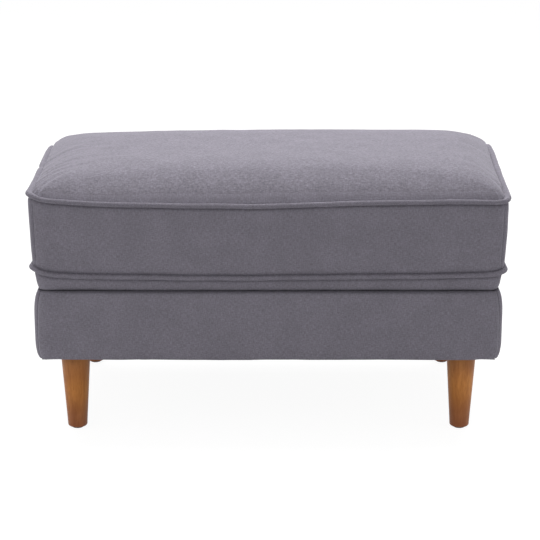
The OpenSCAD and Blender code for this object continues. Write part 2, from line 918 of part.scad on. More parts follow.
// Flat tab with a window that goes round the arch and a hole near its end
module zip_pull() {
    window_h = arch_w + 0.7;
    window_end = arch_in + arch_t + 2;
    end_r = pull_w / 2;
    color(steel_color)
        translate([slider_x, pin_y, zip_z]) {
            cylinder(r = pin_r, h = pull_w, center = true);
            rotate([-90, 0, 0])
                linear_extrude(pull_t, center = true)
                    difference() {
                        union() {
                            translate([-pull_len + end_r, -pull_w / 2])
                                square([pull_len - end_r, pull_w]);
                            translate([-pull_len + end_r, 0])
                                circle(end_r);
                        }
                        translate([-window_end, -window_h / 2])
                            square([window_end - pin_r + 0.1, window_h]);
                        translate([-pin_r + 0.1, -window_h / 2])
                            square([pin_r, window_h]);
                        translate([-pull_len + end_r, 0])
                            circle(1.6);
                    }
        }
}

front_rail();
rear_rail();
left_rail();
right_rail();
centre_stretcher();
rail_dowels();
corner_block([-1, -1]);  // corner_block_front_left
corner_block([1, -1]);  // corner_block_front_right
corner_block([-1, 1]);  // corner_block_rear_left
corner_block([1, 1]);  // corner_block_rear_right
block_screws();
leg([-1, -1]);  // leg_front_left
leg([1, -1]);  // leg_front_right
leg([-1, 1]);  // leg_rear_left
leg([1, 1]);  // leg_rear_right
glide([-1, -1]);  // glide_front_left
glide([1, -1]);  // glide_front_right
glide([-1, 1]);  // glide_rear_left
glide([1, 1]);  // glide_rear_right
hanger_bolts();
tee_nuts();
sinuous_spring(-2);  // spring_1
sinuous_spring(-1);  // spring_2
sinuous_spring(0);  // spring_3
sinuous_spring(1);  // spring_4
sinuous_spring(2);  // spring_5
spring_clips();
spring_felt();
deck_foam();
deck_cloth();
padding(front);  // padding_front
padding(back);  // padding_rear
padding(left);  // padding_left
padding(right);  // padding_right
base_cover(front);  // base_cover_front
base_cover(back);  // base_cover_rear
base_cover(left);  // base_cover_left
base_cover(right);  // base_cover_right
dust_cover();
cushion_foam();
cushion_fibre_top();
cushion_fibre_bottom();
cushion_top_panel();
cushion_bottom_panel();
boxing(front);  // boxing_front
boxing(left);  // boxing_left
boxing(right);  // boxing_right
boxing_strip(1);  // boxing_rear_upper
boxing_strip(-1);  // boxing_rear_lower
welt_upper();
welt_lower();
zip_tape(1);  // zip_tape_upper
zip_tape(-1);  // zip_tape_lower
zip_coil();
zip_stops();
zip_slider();
zip_pull();
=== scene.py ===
import json
import math

import bmesh
import bpy
from mathutils import Matrix, Vector, noise
from mathutils.bvhtree import BVHTree


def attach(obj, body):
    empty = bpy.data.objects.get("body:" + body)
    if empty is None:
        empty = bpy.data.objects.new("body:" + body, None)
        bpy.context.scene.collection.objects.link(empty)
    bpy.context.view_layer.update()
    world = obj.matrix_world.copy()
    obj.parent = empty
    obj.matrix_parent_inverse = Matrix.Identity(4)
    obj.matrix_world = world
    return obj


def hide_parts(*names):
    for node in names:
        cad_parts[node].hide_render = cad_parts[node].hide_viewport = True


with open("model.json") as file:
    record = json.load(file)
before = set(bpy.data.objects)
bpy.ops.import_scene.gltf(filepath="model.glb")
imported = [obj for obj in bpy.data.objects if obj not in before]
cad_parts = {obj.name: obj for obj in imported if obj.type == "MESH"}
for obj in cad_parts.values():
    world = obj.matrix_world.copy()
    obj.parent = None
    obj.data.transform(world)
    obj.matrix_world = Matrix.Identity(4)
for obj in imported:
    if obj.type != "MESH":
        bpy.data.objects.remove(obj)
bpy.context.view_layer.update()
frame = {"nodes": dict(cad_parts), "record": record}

nodes = frame["nodes"]
mm = 0.001
scene = bpy.context.scene
print("frame loaded:", len(nodes), "nodes")


# Materials

def colour(code):
    channels = [int(code[i:i + 2], 16) / 255 for i in (1, 3, 5)]
    return [c / 12.92 if c <= 0.04045 else ((c + 0.055) / 1.055) ** 2.4 for c in channels] + [1]


def addNode(tree, kind, settings=None, **links):
    node = tree.nodes.new("ShaderNode" + kind)
    for name, value in (settings or {}).items():
        if name in node.inputs:
            node.inputs[name].default_value = value
        else:
            setattr(node, name, value)
    for name, source in links.items():
        key = int(name[2:]) if name.startswith("in") else name.replace("_", " ")
        tree.links.new(source, node.inputs[key])
    return node


def newMaterial(name, **constants):
    material = bpy.data.materials.new(name)
    material.use_nodes = True
    tree = material.node_tree
    shader = tree.nodes["Principled BSDF"]
    for key, value in constants.items():
        shader.inputs[key.replace("_", " ")].default_value = value
    return material, tree, shader


def objectMillimetres(tree, **stretch):
    place = addNode(tree, "TexCoord")
    scale = [stretch.get(axis, 1) / mm for axis in "xyz"]
    return addNode(tree, "Mapping", {"Scale": scale}, Vector=place.outputs["Object"]), place


def ramp(tree, source, stops):
    node = addNode(tree, "ValToRGB", in0=source)
    elements = node.color_ramp.elements
    while len(elements) < len(stops):
        elements.new(0.5)
    for element, (at, code) in zip(elements, stops):
        element.position = at
        element.color = colour(code)
    return node.outputs["Color"]


def maths(tree, operation, a, b=None):
    node = addNode(tree, "Math", {"operation": operation})
    for index, value in enumerate((a, b)):
        if isinstance(value, (int, float)):
            node.inputs[index].default_value = value
        elif value is not None:
            tree.links.new(value, node.inputs[index])
    return node.outputs[0]


def blendColours(tree, factor, a, b, mode="MIX"):
    node = addNode(tree, "Mix", {"data_type": "RGBA", "blend_type": mode, "clamp_factor": True})
    if isinstance(factor, (int, float)):
        node.inputs[0].default_value = factor
    else:
        tree.links.new(factor, node.inputs[0])
    for index, value in ((6, a), (7, b)):
        if isinstance(value, str):
            node.inputs[index].default_value = colour(value)
        else:
            tree.links.new(value, node.inputs[index])
    return node.outputs[2]


def mapped(tree, source, **settings):
    return addNode(tree, "Mapping", settings, Vector=source.outputs[0])


def noiseOf(tree, place, scale, detail, **others):
    settings = {"Scale": scale, "Detail": detail, **others}
    return addNode(tree, "TexNoise", settings, Vector=place.outputs[0]).outputs[0]


# A shader's colour and bump: the bump's depth is in millimetres
def giveSurface(tree, shader, painted, strength, depth, height):
    bump = addNode(tree, "Bump", {"Strength": strength, "Distance": depth * mm}, Height=height)
    tree.links.new(painted, shader.inputs["Base Color"])
    tree.links.new(bump.outputs[0], shader.inputs["Normal"])


# Plain woven polyester in a dark and a light yarn: matt, soft, lighter at a grazing angle
wovenCloth = {
    "dark": "#6F6B74", "light": "#8D8994",
    "threadPitch": 1.5, "fleckLength": 6.0, "mottleSize": 38.0, "slubs": (1 / 5, 1 / 3, 1 / 3),
    "bumpDepth": 0.72,
    "facing": 0.72,  # a surface counts as facing X or Z from this share of its normal
}


def clothMaterial(name, cloth, bias=0):
    material, tree, shader = newMaterial(
        name, Roughness=0.92, Sheen_Weight=0.35, Sheen_Roughness=0.45, Specular_IOR_Level=0.18
    )
    shader.inputs["Sheen Tint"].default_value = colour("#C8C6CE")
    place, coords = objectMillimetres(tree)
    across = addNode(tree, "SeparateXYZ", in0=place.outputs[0])
    normal = addNode(tree, "SeparateXYZ", in0=coords.outputs["Normal"])
    facesX, facesZ = (
        maths(tree, "GREATER_THAN", maths(tree, "ABSOLUTE", normal.outputs[axis]), cloth["facing"])
        for axis in (0, 2)
    )

    def pick(a, b, factor):
        return addNode(tree, "Mix", {"data_type": "FLOAT"}, in0=factor, in2=a, in3=b).outputs[0]

    # Weft runs along the side and warp up it, and over the top from front to back
    weftWay = pick(across.outputs[0], across.outputs[1], facesX)
    warpWay = pick(across.outputs[2], across.outputs[1], facesZ)
    flat = addNode(tree, "CombineXYZ", in0=weftWay, in1=warpWay)
    turned = mapped(tree, flat, Rotation=(0, 0, math.radians(bias)))
    fleckScale = (1 / cloth["fleckLength"], 1 / cloth["threadPitch"], 1)
    yarns = []
    for angle in (0, math.pi / 2):
        along = mapped(tree, turned, Rotation=(0, 0, angle))
        flecks = mapped(tree, along, Scale=fleckScale)
        yarns.append(noiseOf(tree, flecks, 1.0, 3.0, Roughness=0.6))
    heather = maths(tree, "MULTIPLY", maths(tree, "ADD", *yarns), 0.5)
    soft = noiseOf(tree, place, 1 / cloth["mottleSize"], 4.0, Roughness=0.65)
    yarnColour = ramp(tree, heather, ((0.36, cloth["dark"]), (0.64, cloth["light"])))
    cloudy = ramp(tree, soft, ((0.38, "#F5F5F5"), (0.62, "#FFFFFF")))
    painted = blendColours(tree, 1.0, yarnColour, cloudy, "MULTIPLY")
    # Slubs of the weft, which still show where the top is seen from low down
    slubs = mapped(tree, place, Scale=cloth["slubs"])
    streaks = ramp(tree, noiseOf(tree, slubs, 1.0, 2.0), ((0.36, "#DDDDDD"), (0.64, "#FFFFFF")))
    painted = blendColours(tree, facesZ, painted, blendColours(tree, 1.0, painted, streaks, "MULTIPLY"))
    height = maths(tree, "ADD", heather, maths(tree, "MULTIPLY", soft, 0.6))
    giveSurface(tree, shader, painted, 0.55, cloth["bumpDepth"], height)
    return material


# Rubberwood turned on a lathe, stained honey brown and sprayed with satin lacquer
stainedWood = {
    # The stain's colour by height in mm: redder at the foot, golden half way up
    "stain": (
        (0, "#B06C42"), (25, "#B87544"), (60, "#CE8740"),
        (85, "#D38C41"), (115, "#C58141"), (148, "#B0753F"),
    ),
    "ringWidth": 7.0,
    "ringStretch": 0.018,  # up the leg
    "poreLength": 26.0, "poreWidth": 0.9, "cloudSize": 45.0,
    "knot": (0.3462, -0.2055, 0.1405), "knotSize": 3.2,
}


def woodMaterial(name, wood):
    material, tree, shader = newMaterial(
        name, Roughness=0.5, Specular_IOR_Level=0.3, Coat_Weight=0.08, Coat_Roughness=0.3
    )
    place, coords = objectMillimetres(tree)
    ring, pore, poreRise = (1 / wood[key] for key in ("ringWidth", "poreWidth", "poreLength"))
    grain = mapped(tree, place, Scale=(ring, ring, wood["ringStretch"]))
    rings = noiseOf(tree, grain, 0.8, 5.0, Roughness=0.55, Distortion=0.6)
    pores = mapped(tree, place, Scale=(pore, pore, poreRise))
    lines = noiseOf(tree, pores, 1.0, 2.0)
    cloud = noiseOf(tree, place, 1 / wood["cloudSize"], 2.0)
    top = wood["stain"][-1][0]
    height = addNode(tree, "SeparateXYZ", in0=coords.outputs["Object"])
    up = maths(tree, "DIVIDE", height.outputs[2], top * mm)
    painted = ramp(tree, up, [(at / top, code) for at, code in wood["stain"]])
    # How much each layer darkens the stain, its darkest place, and where it is clear
    layers = (
        (rings, 0.6, (0.36, "#D6C3B0"), 0.62),
        (lines, 0.35, (0.33, "#C4B4A2"), 0.5),
        (cloud, 0.6, (0.35, "#D6CABC"), 0.65),
    )
    for figure, share, darkest, clearAt in layers:
        layer = ramp(tree, figure, (darkest, (clearAt, "#FFFFFF")))
        painted = blendColours(tree, share, painted, layer, "MULTIPLY")
    away = addNode(tree, "VectorMath", {"operation": "DISTANCE"}, in0=coords.outputs["Object"])
    away.inputs[1].default_value = wood["knot"]
    spot = maths(tree, "LESS_THAN", away.outputs["Value"], wood["knotSize"] * mm)
    painted = blendColours(tree, maths(tree, "MULTIPLY", spot, 0.8), painted, "#3A2413")
    giveSurface(tree, shader, painted, 0.25, 0.2, lines)
    return material


# Planed pine: pale, with wide soft grain along the rail
def pineMaterial(name):
    material, tree, shader = newMaterial(name, Roughness=0.7)
    grain = noiseOf(tree, objectMillimetres(tree, x=0.06)[0], 0.09, 5.0, Distortion=1.2)
    painted = ramp(tree, grain, ((0.35, "#B98E58"), (0.5, "#D9B885"), (0.7, "#E6CDA0")))
    giveSurface(tree, shader, painted, 0.3, 0.3, grain)
    return material


# A plain finish with its own grit: its size and the depth that the light catches are in millimetres
def grainyMaterial(name, dark, light, size, depth, stretch=None, **constants):
    material, tree, shader = newMaterial(name, **constants)
    grit = noiseOf(tree, objectMillimetres(tree, **(stretch or {}))[0], 1 / size, 4.0, Roughness=0.6)
    giveSurface(tree, shader, ramp(tree, grit, ((0.35, dark), (0.65, light))), 0.5, depth, grit)
    return material


greyCloth = clothMaterial("wovenPolyester", wovenCloth)
# The welts' cloth is cut on the bias, and its yarns are a little darker than the panels' as painted shade
# on the welts
shadedBiasCloth = clothMaterial("wovenPolyesterBiasShaded", dict(wovenCloth, dark="#6B6770", light="#8A8691"), bias=45)
legWood = woodMaterial("lacqueredRubberwood", stainedWood)
pineWood = pineMaterial("planedPine")
blackPlastic = grainyMaterial("mouldedNylon", "#161617", "#232325", 1.2, 0.05, Roughness=0.5)
galvanised = grainyMaterial("zincPlatedSteel", "#8D8F92", "#B4B6B8", 6.0, 0.03, Roughness=0.34, Metallic=1)
springSteel = grainyMaterial("oiledSpringSteel", "#5C5D60", "#86888C", 4.0, 0.03, Roughness=0.4, Metallic=1)
zipMetal = grainyMaterial("gunmetalDieCast", "#55565A", "#77787C", 1.5, 0.02, Roughness=0.3, Metallic=1)
foamCore = grainyMaterial("openCellFoam", "#D9CFA9", "#EFE8CB", 1.4, 0.5, Roughness=0.95)
fibreWadding = grainyMaterial(
    "polyesterWadding", "#DEDEDC", "#F5F5F3", 5.0, 1.4, Roughness=0.98, Sheen_Weight=0.4
)
pressedFelt = grainyMaterial("pressedFelt", "#6E655B", "#8F877B", 2.0, 0.5, Roughness=0.97)
blackLining = grainyMaterial("spunbondLining", "#141416", "#242427", 1.6, 0.25, {"y": 0.6}, Roughness=0.85)
zipCloth = grainyMaterial("wovenZipTape", "#35353A", "#4A4A50", 0.9, 0.15, {"x": 0.3}, Roughness=0.9)
print("materials made")


# Pieces

def linked(name, data):
    piece = bpy.data.objects.new(name, data)
    scene.collection.objects.link(piece)
    return piece


def objectOf(name, bm):
    mesh = bpy.data.meshes.new(name)
    bm.to_mesh(mesh)
    return linked(name, mesh)


def newPiece(name, bm, material, body, replaced=()):
    piece = objectOf(name, bm)
    bm.free()
    mesh = piece.data
    mesh.materials.clear()
    mesh.materials.append(material)
    mesh.polygons.foreach_set("material_index", [0] * len(mesh.polygons))
    mesh.shade_smooth()
    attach(piece, body)
    if replaced:
        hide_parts(*replaced)
    return piece


def thicken(piece, thickness):
    wall = piece.modifiers.new("wall", "SOLIDIFY")
    wall.thickness = thickness
    wall.offset = -1
    wall.use_even_offset = False


def bevel(bm, edges, offset, segments=1, clamped=False):
    bmesh.ops.bevel(
        bm, geom=edges, offset=offset, segments=segments, profile=0.5, affect="EDGES", material=-1,
        clamp_overlap=clamped
    )


# A box of even quads whose six faces keep their number as a material index
def gridBox(cuts):
    bm = bmesh.new()
    bmesh.ops.create_cube(bm, size=2)
    bm.normal_update()
    for face in bm.faces:
        n = face.normal
        axis = max(range(3), key=lambda i: abs(n[i]))
        face.material_index = axis * 2 + (1 if n[axis] > 0 else 0)
    for axis in range(3):
        along = [e for e in bm.edges if abs(e.verts[0].co[axis] - e.verts[1].co[axis]) > 1e-6]
        bmesh.ops.subdivide_edges(bm, edges=along, cuts=cuts[axis], use_grid_fill=False)
    return bm


# The number that each side of a grid box keeps, and how far out its points are at least
boxSides = {"left": 0, "right": 1, "front": 2, "rear": 3, "bottom": 4, "top": 5}
onSide = 0.999


def clamp(value):
    return min(1, max(0, value))


def mix(pair, share):
    return pair[0] + (pair[1] - pair[0]) * share


# The left or the right one of a pair
def atEnd(pair, x):
    return pair[0 if x < 0 else 1]


# A soft hump: 1 at its middle, almost nothing at twice its reach
def hump(distance, reach):
    return math.exp(-((distance / reach) ** 2))


def softNoise(co, size, seed=0):
    return noise.noise(Vector((co.x / size + seed, co.y / size, co.z / size)))


# Unevenness as a sum of waves, each with its depth, size and seed
def uneven(co, waves):
    return sum(depth * softNoise(co, size, seed) for depth, size, seed in waves)


def within(value, half):
    return min(max(value, -half), half)


# A square corner's point moved onto a round corner
def roundedPlan(x, y, halfX, halfY, radius):
    cornerX, cornerY = within(x, halfX - radius), within(y, halfY - radius)
    dx, dy = x - cornerX, y - cornerY
    length = math.hypot(dx, dy)
    if abs(dx) > 0 and abs(dy) > 0:
        factor = max(abs(dx), abs(dy)) / length
        dx, dy = dx * factor, dy * factor
    return cornerX + dx, cornerY + dy


cushion = {
    "halfX": 0.421, "halfY": 0.2545, "cornerRadius": 0.036,
    "upperSeam": 0.4433, "lowerSeam": 0.309, "seamBand": 0.008, "rest": 0.27445,
    "seamIn": (0.0105, 0.0120),  # lower and upper, where the panels meet behind the welt
    # The crown's height over the seam by its distance from the edge, both in mm
    "crown": (
        (0, 0), (3, 7.2), (8, 13.4), (14, 18.4), (20, 22.6), (27, 26.8), (35, 30.6), (43, 34),
        (54, 37.2), (68, 39.7), (84, 41.5), (103, 42.8), (128, 43.6), (160, 44), (260, 44.2),
    ),
    # It falls off sooner towards the back
    "rearFall": 4.0, "fallAt": 0.15, "fallReach": 0.05, "fallRim": 0.03,
    # The left end is stuffed less
    "lowShoulder": 0.13, "shoulderAt": -0.33, "shoulderReach": 0.17,
    # The back is sewn wider than the front, left and right
    "rearWider": (0.007, 0.015), "widerFrom": -0.15, "widerOver": 0.4,
    # How squarely the crown fills its corners, and how much fuller the back ones are, left and right
    "frontFullness": 1.9, "rearFullness": (2.4, 1.9), "rearPlump": (0.3, -0.22), "plumpReach": 0.050,
    "cornerTuck": (6.0, 3.0), "tuckReach": 0.035,  # and how far their seam is pulled down
    # How far the crown swells out over the welt, at the middle of its ends and at the back
    "sideSwell": (6.0, 9.0), "swellReach": (0.014, 0.022), "swellStart": 0.0012,
    "swellFront": 0.020, "swellOver": 0.045, "backFrom": 0.04, "backOver": 0.15,
    "bellyReach": 0.011, "bellyFullness": 2.2,
    "boxingIn": (0.0086, 0.0045), "boxingBulge": 0.0008, "grooveWidth": 0.0098,
    # How far the seams hang below their corners along the front, from left to right
    "upperFront": (
        (-421, -9), (-412, -6), (-402, -1), (-392, 1.5), (-380, 3), (-361, 4.5), (-326, 7),
        (-292, 9), (-222, 10.8), (-153, 11.8), (-83, 12.6), (-14, 12.8), (56, 11), (125, 7.9),
        (194, 6.6), (264, 5.6), (333, 4.6), (368, 5), (396, 6.5), (421, 6.5),
    ),
    "lowerFront": (
        (-421, -13), (-408, -7), (-392, 0), (-380, 1.5), (-330, 4.6), (-222, 6.2), (-83, 8),
        (0, 7.2), (125, 5.6), (264, 4.6), (333, 3), (380, 1.5), (400, 0), (421, -2.5),
    ),
    "hangFrom": 0.012, "hangReach": 0.13,  # and how soon that fades inside the panel
    # The upper seam is lower at the back corners, left and right
    "rearDip": 10.0, "rearDrop": (19.0, 16.0), "dropFrom": 0.06,
    "cuts": (112, 68, 17), "clothThickness": 0.0015,
    "waves": ((0.0011, 0.11, 0), (0.0005, 0.035, 7)), "looseFrom": 0.02,
    "puckers": ((0.0005, 0.012, 3),), "puckerReach": 0.011,
    # The boxing's upright corner seams, left and right, and the ridge beside each
    "seamDepth": (0.0022, 0.00132), "seamWidth": 0.0022,
    "ridge": 0.0007, "ridgeAt": 0.007, "ridgeWidth": 0.004,
}


def between(line, x):
    for (x0, z0), (x1, z1) in zip(line, line[1:]):
        if x <= x1:
            q = max(0, (x - x0) / (x1 - x0))
            return z0 + (z1 - z0) * q
    return line[-1][1]


# A smooth curve through the points of a table
def curved(line, x):
    x = min(max(x, line[0][0]), line[-1][0])
    i = max(k for k in range(len(line) - 1) if line[k][0] <= x)
    (x0, z0), (x1, z1) = line[i], line[i + 1]
    before, after = line[max(i - 1, 0)], line[min(i + 2, len(line) - 1)]
    slope0 = (z1 - before[1]) / (x1 - before[0])
    slope1 = (after[1] - z0) / (after[0] - x0)
    q, span = (x - x0) / (x1 - x0), x1 - x0
    return (
        (1 + 2 * q) * (1 - q) ** 2 * z0 + q * (1 - q) ** 2 * span * slope0
        + q * q * (3 - 2 * q) * z1 + q * q * (q - 1) * span * slope1
    )


def smoothBetween(line, x):
    return sum(between(line, x + step) for step in (-16, -8, 0, 8, 16)) / 5


# How far the cloth hangs here, because its seam does: whole at the seam, less inside the panel
def hang(x, y, upper):
    c = cushion
    fade = max(0, 1 - max(0, c["halfY"] - abs(y) - c["hangFrom"]) / c["hangReach"]) ** 2
    if y < 0:
        total = fade * smoothBetween(c["upperFront"] if upper > 0.5 else c["lowerFront"], x / mm)
    else:
        arch = max(0, math.cos(x / c["halfX"] * math.pi / 2)) ** 0.7
        total = fade * c["rearDip"] * (0.6 + 0.4 * upper) * arch
    back = max(0, (y - c["dropFrom"]) / (c["halfY"] - c["dropFrom"])) ** 2
    total += upper * mix(c["rearDrop"], 0.5 + x / c["halfX"] / 2) * back
    fromCorner = math.hypot(c["halfX"] - abs(x), c["halfY"] - y)
    total += upper * atEnd(c["cornerTuck"], x) * hump(fromCorner, c["tuckReach"])
    return total * mm


def sag(co):
    c = cushion
    z = co.z
    if z >= c["upperSeam"] - c["seamBand"]:
        co.z -= hang(co.x, co.y, 1)
    elif z <= c["lowerSeam"] + c["seamBand"]:
        amount = clamp((z - c["rest"]) / (c["lowerSeam"] - c["seamBand"] - c["rest"])) ** 0.8
        co.z -= amount * hang(co.x, co.y, 0)
    else:
        # The boxing's cloth runs straight from one seam to the other
        share = (z - c["lowerSeam"]) / (c["upperSeam"] - c["lowerSeam"])
        co.z -= mix((hang(co.x, co.y, 0), hang(co.x, co.y, 1)), share)


def bulge(s):
    return 1 - (1 - min(1, s)) ** 2


# Closer columns near the corners
def crowded(u):
    return 0.5 * u + 0.5 * math.sin(u * math.pi / 2)


# The crown over a point of the plan: its height, and how far it swells out along X and Y
def crownAt(x, y, insetX, insetY, halfY):
    c = cushion
    n = c["frontFullness"] if y < 0 else mix(c["rearFullness"], 0.5 + x / c["halfX"] / 2)
    inside = (max(insetX, 1e-6) ** -n + max(insetY, 1e-6) ** -n) ** (-1 / n)
    fromCorner = math.hypot(insetX, halfY - y)
    inside *= 1 + atEnd(c["rearPlump"], x) * hump(fromCorner, c["plumpReach"])
    left = hump(x - c["shoulderAt"], c["shoulderReach"])
    rise = (1 - c["lowShoulder"] * left) * curved(c["crown"], inside / mm) * mm
    rise -= c["rearFall"] * hump(y - c["fallAt"], c["fallReach"]) * min(1, inside / c["fallRim"]) * mm
    back = clamp((y - c["backFrom"]) / c["backOver"])
    swell = mix(c["sideSwell"], back) * mm * hump(inside, mix(c["swellReach"], back))
    swell *= 1 - math.exp(-inside / c["swellStart"])
    share = insetY ** 2 / max(insetX ** 2 + insetY ** 2, 1e-9)
    fromFront = clamp((y + halfY - c["swellFront"]) / c["swellOver"])
    return rise, math.copysign(swell * share * fromFront, x), swell * (1 - share) if y > 0 else 0


def placePadVertex(vertex):
    c = cushion
    u, v, w = crowded(vertex.co.x), crowded(vertex.co.y), vertex.co.z
    s = (w + 1) / 2
    height = c["upperSeam"] - c["lowerSeam"]
    atSeam = mix(c["seamIn"], s)
    boxing = mix(c["boxingIn"], s) - 4 * c["boxingBulge"] * s * (1 - s)
    fromSeam = min(s, 1 - s) * height
    inset = atSeam + (boxing - atSeam) * bulge(fromSeam / c["grooveWidth"]) ** 0.5
    halfX, halfY = c["halfX"] - inset, c["halfY"] - inset
    x, y = u * halfX, v * halfY
    insetX, insetY = halfX - abs(x), halfY - abs(y)
    px, py = roundedPlan(x, y, halfX, halfY, c["cornerRadius"] - inset)
    z = c["lowerSeam"] + height * s
    if w > onSide:
        rise, outX, outY = crownAt(x, y, insetX, insetY, halfY)
        px, py, z = px + outX, py + outY, z + rise
    if w < -onSide:
        n = c["bellyFullness"]
        t = min(1, min(insetX, insetY) / c["bellyReach"])
        z -= (c["lowerSeam"] - c["rest"]) * (1 - (1 - t) ** n) ** (1 / n)
    vertex.co = (px, py, z)


# The back of the cushion is sewn a little wider than its front
def widen(co):
    c = cushion
    back = max(0, (co.y - c["widerFrom"]) / c["widerOver"]) ** 1.2
    co.x *= 1 + atEnd(c["rearWider"], co.x) / c["halfX"] * back


# Pressure from inside fills the sewn cover, held at its seams, as the foam and fibre do
filling = {
    "lastFrame": 20,
    "most": 0.003,  # and it moves less than this
    "seamHeld": 1.0, "boxingHeld": 0.6,
    "cloth": {
        "quality": 5, "mass": 0.02, "air_damping": 5, "shrink_min": -0.004,
        "tension_stiffness": 40, "compression_stiffness": 40, "shear_stiffness": 5,
        "bending_stiffness": 0.5, "use_pressure": True, "uniform_pressure_force": 40,
        "vertex_group_mass": "held",
    },
}


def inflate(bm, heldWeights):
    f = filling
    piece = objectOf("padBeforeFilling", bm)
    held = piece.vertex_groups.new(name="held")
    for index, weight in heldWeights.items():
        held.add([index], weight, "REPLACE")
    modifier = piece.modifiers.new("filling", "CLOTH")
    for key, value in f["cloth"].items():
        setattr(modifier.settings, key, value)
    modifier.settings.effector_weights.gravity = 0
    modifier.point_cache.frame_start = 1
    modifier.point_cache.frame_end = f["lastFrame"]
    for number in range(1, f["lastFrame"] + 1):
        scene.frame_set(number)
    filled = piece.evaluated_get(bpy.context.evaluated_depsgraph_get()).to_mesh()
    bm.verts.ensure_lookup_table()
    farthest = 0
    for vertex, target in zip(bm.verts, filled.vertices):
        move = target.co - vertex.co
        farthest = max(farthest, move.length)
        # The filling inside lets the cloth go only so far
        vertex.co += move * (f["most"] / (f["most"] + move.length))
    scene.frame_set(1)
    bpy.data.meshes.remove(piece.data)
    print("filled, farthest move before it is held", round(farthest / mm, 1), "mm")


def cushionPad():
    bm = gridBox(cushion["cuts"])
    held = {}
    for vertex in bm.verts:
        w = vertex.co.z
        rim = max(abs(vertex.co.x), abs(vertex.co.y)) > onSide
        if w < -onSide or rim and w > onSide:
            held[vertex.index] = filling["seamHeld"]
        elif rim:
            held[vertex.index] = filling["boxingHeld"]
    for vertex in bm.verts:
        placePadVertex(vertex)
    bm.verts.index_update()
    inflate(bm, held)
    piece = objectOf("pad", bm)
    bm.free()
    finer = piece.modifiers.new("finer", "SUBSURF")
    finer.levels = finer.render_levels = 1
    smooth = piece.evaluated_get(bpy.context.evaluated_depsgraph_get()).to_mesh()
    bm = bmesh.new()
    bm.from_mesh(smooth)
    bpy.data.objects.remove(piece)
    return bm


# Folds that run in from a seam, in mm and degrees: start in the plan, direction, length, width, depth
creases = [
    ((-405, -243), 58, 110, 6, 2.2),
    ((-409, -232), 47, 130, 6, 2.0),
    ((-411, -214), 41, 120, 7, 1.6),
    ((-412, -192), 34, 160, 8, 2.0),
    ((-412, -160), 30, 130, 8, 1.4),
    ((-412, -128), 22, 190, 10, 1.7),
    ((-412, -84), 20, 120, 9, 1.1),
    ((-411, -22), 14, 210, 12, 1.8),
    ((-412, 24), 4, 120, 12, 0.9),
    ((-396, -247), 72, 70, 6, 1.3),
    ((410, -236), 136, 110, 9, 0.9),
    ((412, -200), 146, 140, 10, 0.8),
    ((412, -150), 156, 150, 11, 0.7),
    ((-408, 240), -45, 120, 9, 1.0),
    ((-412, 205), -33, 140, 10, 0.8),
    ((408, 240), 225, 120, 9, 1.0),
    ((412, 200), 213, 140, 10, 0.8),
]


# Each fold starts just before its seam, bends and widens, and has a lower ridge on either side
foldShape = {
    "before": 6, "bend": 0.0006, "fade": 1.3, "ridge": 0.55, "ridgeAt": 1.5, "ridgeNarrow": 1.6,
}


def creaseDepth(x, y):
    f = foldShape
    total = 0
    for start, turn, length, width, depth in creases:
        cosine, sine = math.cos(math.radians(turn)), math.sin(math.radians(turn))
        dx, dy = x / mm - start[0], y / mm - start[1]
        along = dx * cosine + dy * sine
        if not -f["before"] < along < length:
            continue
        across = dy * cosine - dx * sine + f["bend"] * along * along
        q = across / width / (0.6 + 0.8 * along / length)
        if abs(q) > 3:
            continue
        fade = (1 - max(0, along) / length) ** f["fade"]
        ridge = f["ridge"] * math.exp(-((abs(q) - f["ridgeAt"]) ** 2) * f["ridgeNarrow"])
        total += depth * fade * (math.exp(-q * q) - ridge)
    return total * mm


def finishPad(bm):
    c = cushion
    bm.normal_update()
    for vertex in bm.verts:
        co = vertex.co
        z = co.z
        if z > c["upperSeam"] + mm:
            co -= vertex.normal * creaseDepth(co.x, co.y)
        fromSeam = min(abs(z - c["upperSeam"]), abs(z - c["lowerSeam"]))
        loose = min(1, fromSeam / c["looseFrom"])
        co += vertex.normal * loose * uneven(co, c["waves"])
        # Puckers where the cloth is sewn to the welt
        near = hump(fromSeam, c["puckerReach"])
        co += vertex.normal * near * uneven(Vector((co.x, co.y, 0)), c["puckers"])
        if c["lowerSeam"] < z < c["upperSeam"]:
            # The upright seams at the corners are drawn in, with the cloth standing up beside them
            outX = abs(co.x) + c["cornerRadius"] - c["halfX"]
            outY = abs(co.y) + c["cornerRadius"] - c["halfY"]
            if outX > 0 and outY > 0:
                apart = abs(outX - outY) / math.sqrt(2)
                drawn = atEnd(c["seamDepth"], co.x) * hump(apart, c["seamWidth"])
                drawn -= c["ridge"] * hump(apart - c["ridgeAt"], c["ridgeWidth"])
                co -= vertex.normal * loose * drawn
        sag(co)
        widen(co)
        co.z = max(co.z, c["rest"])
    return bm


def panelOf(bm, index):
    part = bm.copy()
    bmesh.ops.delete(part, geom=[f for f in part.faces if f.material_index != index], context="FACES")
    return part


pad = finishPad(cushionPad())
for side in ("left", "right", "front", "bottom", "top"):
    upright = side not in ("bottom", "top")
    label = "boxing" + side.capitalize() if upright else "cushion" + side.capitalize() + "Panel"
    node = "boxing_" + side if upright else "cushion_" + side + "_panel"
    piece = newPiece(label, panelOf(pad, boxSides[side]), greyCloth, "cushion", (node,))
    thicken(piece, cushion["clothThickness"])
print("cushion panels made")

